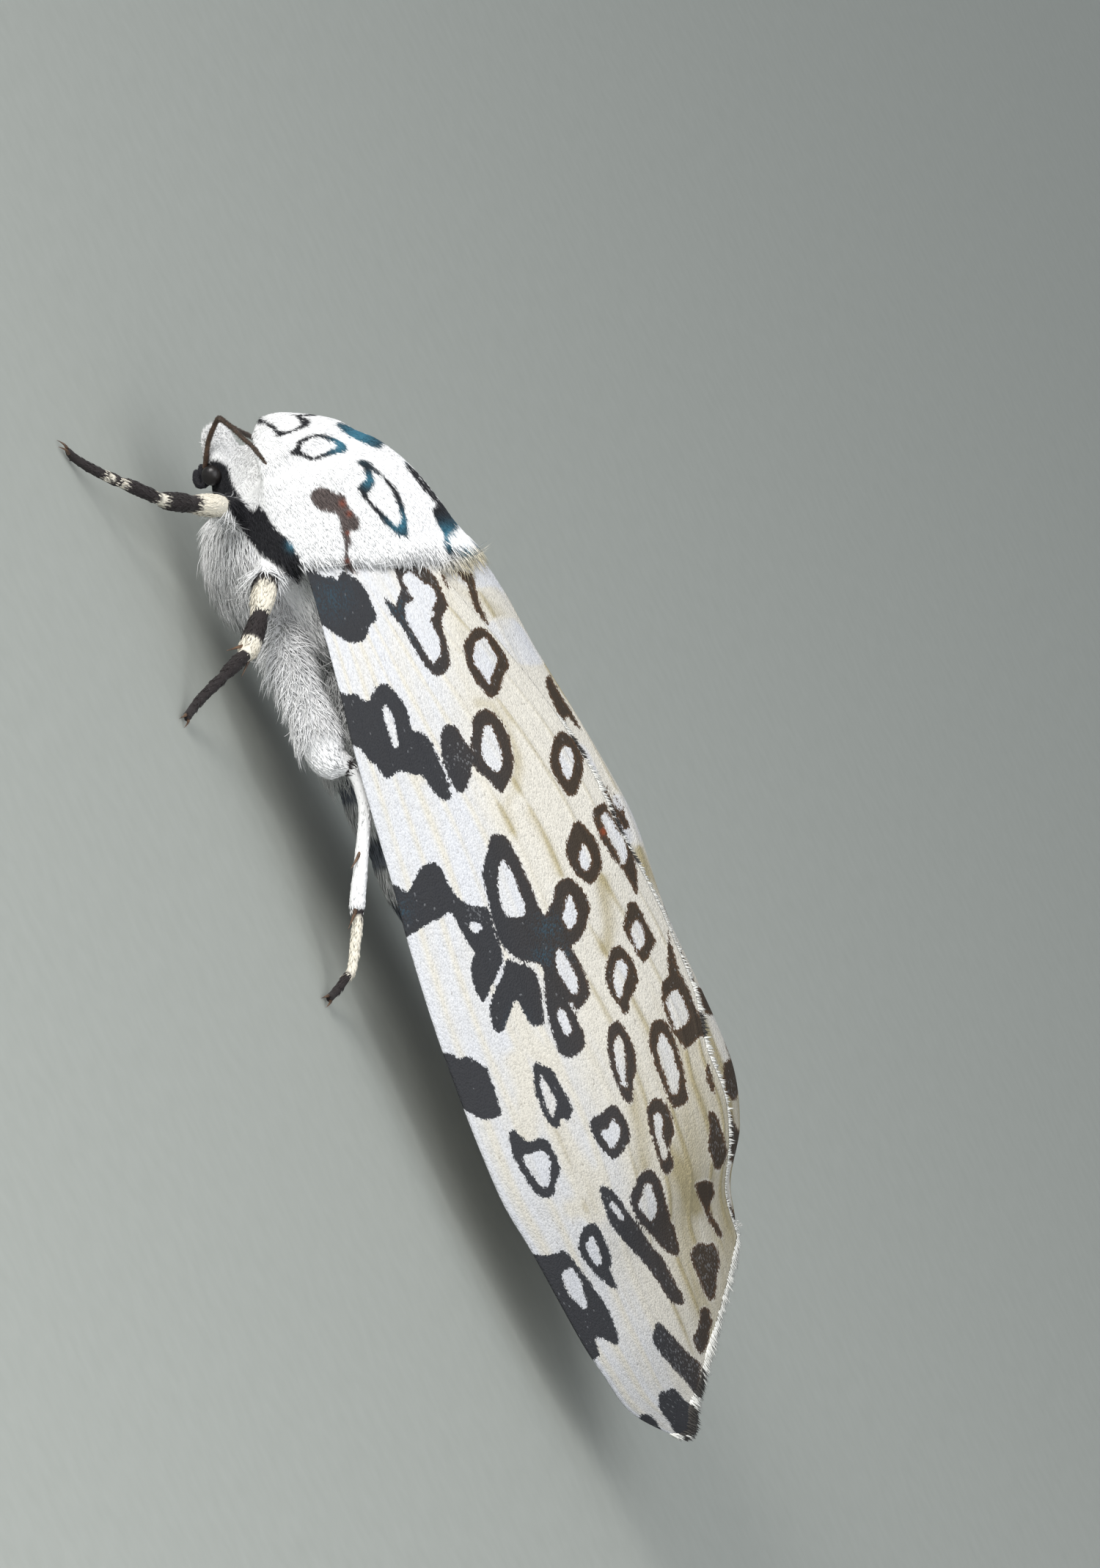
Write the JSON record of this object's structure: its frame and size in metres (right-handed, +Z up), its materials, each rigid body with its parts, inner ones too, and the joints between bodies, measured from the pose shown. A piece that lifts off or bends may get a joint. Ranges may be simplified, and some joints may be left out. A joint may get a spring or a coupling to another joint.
{
  "type": "giant leopard moth",
  "caption": "White moth with black ring markings, standing with its wings folded roof-like over its body, the left forewing over the right one.",
  "frame": {"origin": "middle of the bounding box at the level of the surface that the feet stand on", "axes": "+X toward the wing tips and -X toward the head, +Z up, -Y toward the moth's left side"},
  "size_m": [0.0456, 0.025, 0.0119],
  "materials": {
    "white_coat": "soft white hair",
    "forewing": "powdery scales",
    "hindwing": "powdery scales",
    "abdomen": "dark scales with a blue sheen",
    "leg": "dark scales with pale bands",
    "feeler": "matte dark brown",
    "palp": "black hair",
    "eye": "glossy black"
  },
  "bodies": {
    "root": {"head": "white_coat", "thorax": "white_coat", "abdomen": "abdomen", "eye_left": "eye", "eye_right": "eye", "antenna_left": "feeler", "antenna_right": "feeler", "palp_left": "palp", "palp_right": "palp", "forewing_left": "forewing", "forewing_right": "forewing", "hindwing_left": "hindwing", "hindwing_right": "hindwing", "leg_fore_left": "leg", "leg_fore_right": "leg", "leg_mid_left": "leg", "leg_mid_right": "leg", "leg_hind_left": "leg", "leg_hind_right": "leg"}
  },
  "joints": []
}
